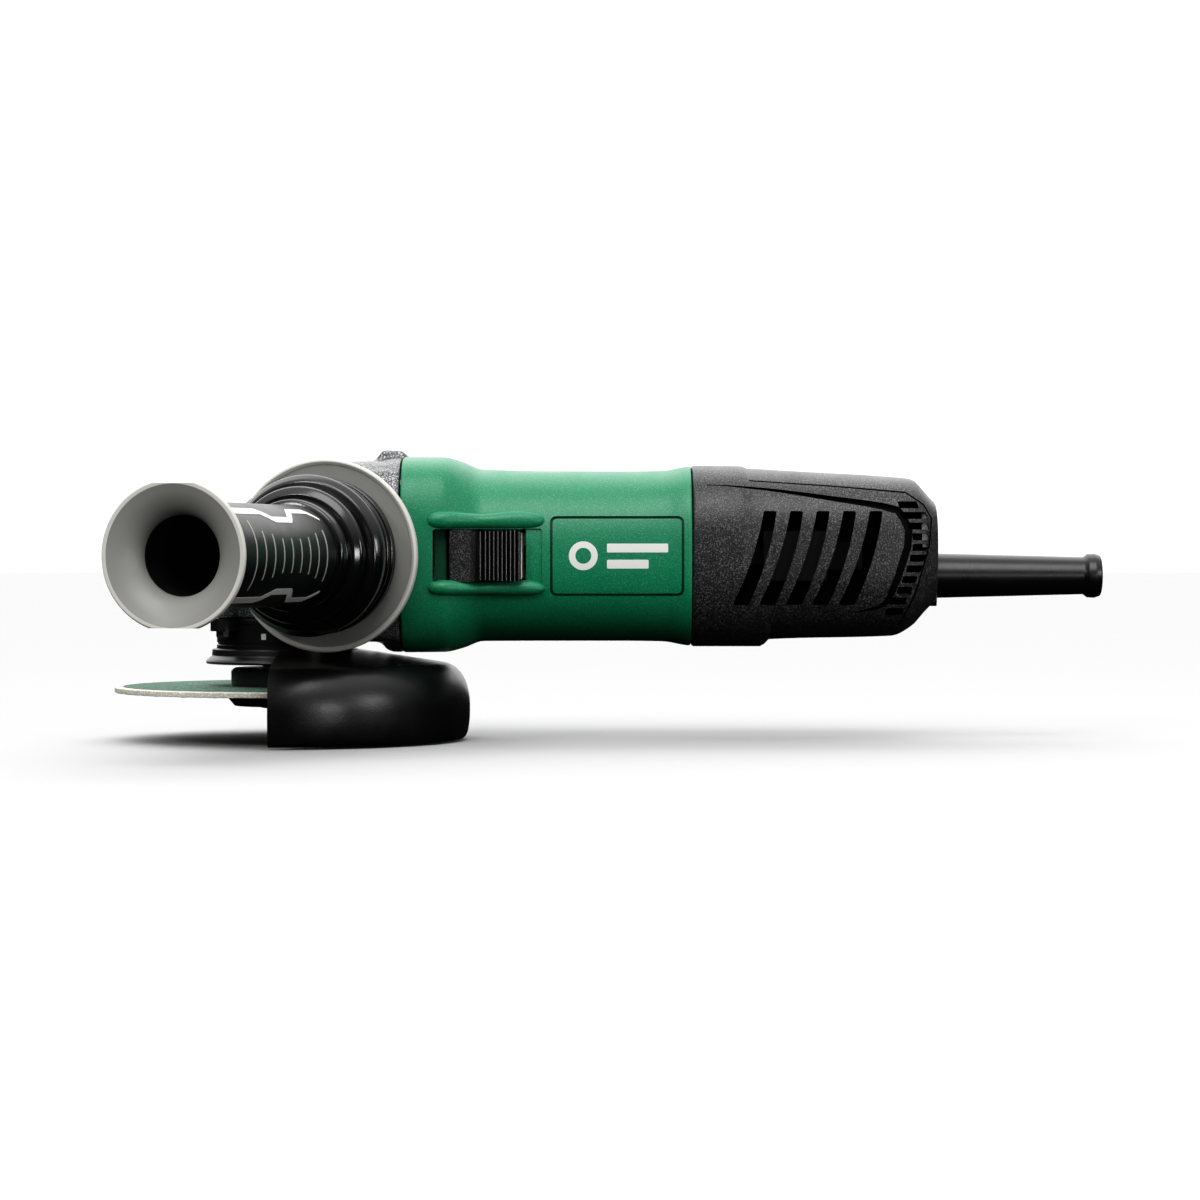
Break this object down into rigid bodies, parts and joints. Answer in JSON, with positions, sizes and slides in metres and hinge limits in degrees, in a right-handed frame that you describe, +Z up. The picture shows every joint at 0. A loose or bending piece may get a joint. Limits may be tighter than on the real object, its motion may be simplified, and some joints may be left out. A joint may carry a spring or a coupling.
{
  "type": "angle grinder",
  "caption": "Corded angle grinder with a 125 mm wheel, half guard, slide switch and angled side handle.",
  "frame": {"origin": "centre of the spindle's end face, where the clamp nut goes on", "axes": "+X from the spindle to the tail, -Y to the side handle's side, +Z up along the spindle"},
  "size_m": [0.363, 0.2512, 0.1058],
  "materials": {
    "cast_paint": "satin",
    "green_plastic": "satin",
    "black_plastic": "textured",
    "inner_black": "matte",
    "satin_black": "satin",
    "guard_paint": "satin",
    "rubber": "matte",
    "grey_plastic": "satin",
    "steel": "machined",
    "dark_steel": "blackened",
    "lamination": "stacked sheets",
    "copper": "enamelled wire",
    "brass": "satin",
    "carbon": "matte",
    "felt": "felt",
    "abrasive": "resin-bonded grit",
    "resin": "satin",
    "nylon": "satin"
  },
  "bodies": {
    "housing": {"gear_housing": "cast_paint", "packing_gland": "guard_paint", "spindle_bearing": "steel", "spindle_sleeve": "brass", "dust_seal": "felt", "spindle_lock_spring": "steel", "motor_housing": "green_plastic", "switch_body": "inner_black", "armature_bearing_front": "steel", "armature_bearing_rear": "steel", "bearing_rubber_sleeve": "rubber", "stator_core": "lamination", "field_coil_top": "copper", "field_coil_bottom": "copper", "fan_baffle": "inner_black", "brush_holder_top": "brass", "brush_holder_bottom": "brass", "brush_spring_top": "steel", "brush_spring_bottom": "steel", "tail_cover": "black_plastic", "tail_cover_screw": "steel", "cord_guard": "satin_black", "cord_clamp": "inner_black", "cord_clamp_screw_1": "steel", "cord_clamp_screw_2": "steel", "suppressor_capacitor": "resin", "gland_screw_1": "dark_steel", "gland_screw_2": "dark_steel", "gland_screw_3": "dark_steel", "gland_screw_4": "dark_steel", "gear_housing_screw_1": "steel", "gear_housing_screw_2": "steel", "gear_housing_screw_3": "steel", "gear_housing_screw_4": "steel"},
    "spindle_group": {"spindle": "steel", "bevel_gear": "dark_steel", "inner_flange": "dark_steel", "grinding_wheel": "abrasive", "clamp_nut": "dark_steel"},
    "armature": {"armature_shaft": "steel", "armature_core": "lamination", "armature_windings": "copper", "commutator": "copper", "cooling_fan": "nylon", "bevel_pinion": "dark_steel", "pinion_nut": "steel"},
    "guard": {"wheel_guard": "guard_paint", "guard_clamp_screw": "steel"},
    "lock": {"spindle_lock_button": "black_plastic"},
    "switch": {"switch_button": "satin_black", "switch_rod": "inner_black", "switch_plunger": "inner_black"},
    "brush_top": {"carbon_brush_top": "carbon"},
    "brush_bottom": {"carbon_brush_bottom": "carbon"},
    "side_handle": {"handle_flange": "grey_plastic", "handle_damper": "rubber", "handle_grip": "rubber", "handle_core": "grey_plastic", "handle_stud": "steel"}
  },
  "joints": [
    {"name": "spindle_spin", "type": "hinge", "parent": "housing", "child": "spindle_group", "pos_m": [0, 0, 0.057], "axis": [0, 0, 1], "continuous": true},
    {"name": "armature_spin", "type": "hinge", "parent": "housing", "child": "armature", "pos_m": [0, 0, 0.057], "axis": [1, 0, 0], "continuous": true},
    {"name": "guard_turn", "type": "hinge", "parent": "housing", "child": "guard", "pos_m": [0, 0, 0.02], "axis": [0, 0, 1], "range_deg": [-90, 90]},
    {"name": "spindle_lock", "type": "slide", "parent": "housing", "child": "lock", "axis": [0, 0, -1], "range_m": [0, 0.003], "stiffness_N_per_m": 600, "springref_m": -0.001, "deforming": ["spindle_lock_spring"]},
    {"name": "switch_slide", "type": "slide", "parent": "housing", "child": "switch", "axis": [-1, 0, 0], "range_m": [0, 0.005]},
    {"name": "brush_top_slide", "type": "slide", "parent": "housing", "child": "brush_top", "axis": [0, 0, 1], "range_m": [0, 0.0025], "stiffness_N_per_m": 250, "springref_m": -0.004, "deforming": ["brush_spring_top"]},
    {"name": "brush_bottom_slide", "type": "slide", "parent": "housing", "child": "brush_bottom", "axis": [0, 0, -1], "range_m": [0, 0.0025], "stiffness_N_per_m": 250, "springref_m": -0.004, "deforming": ["brush_spring_bottom"]},
    {"name": "side_handle_turn", "type": "hinge", "parent": "housing", "child": "side_handle", "pos_m": [0.0182, -0.04, 0.057], "axis": [-0.2588, -0.9659, 0], "range_deg": [0, 360]}
  ],
  "couplings": [
    {"joint": "armature_spin", "follows": "spindle_spin", "ratio": 3.4}
  ]
}
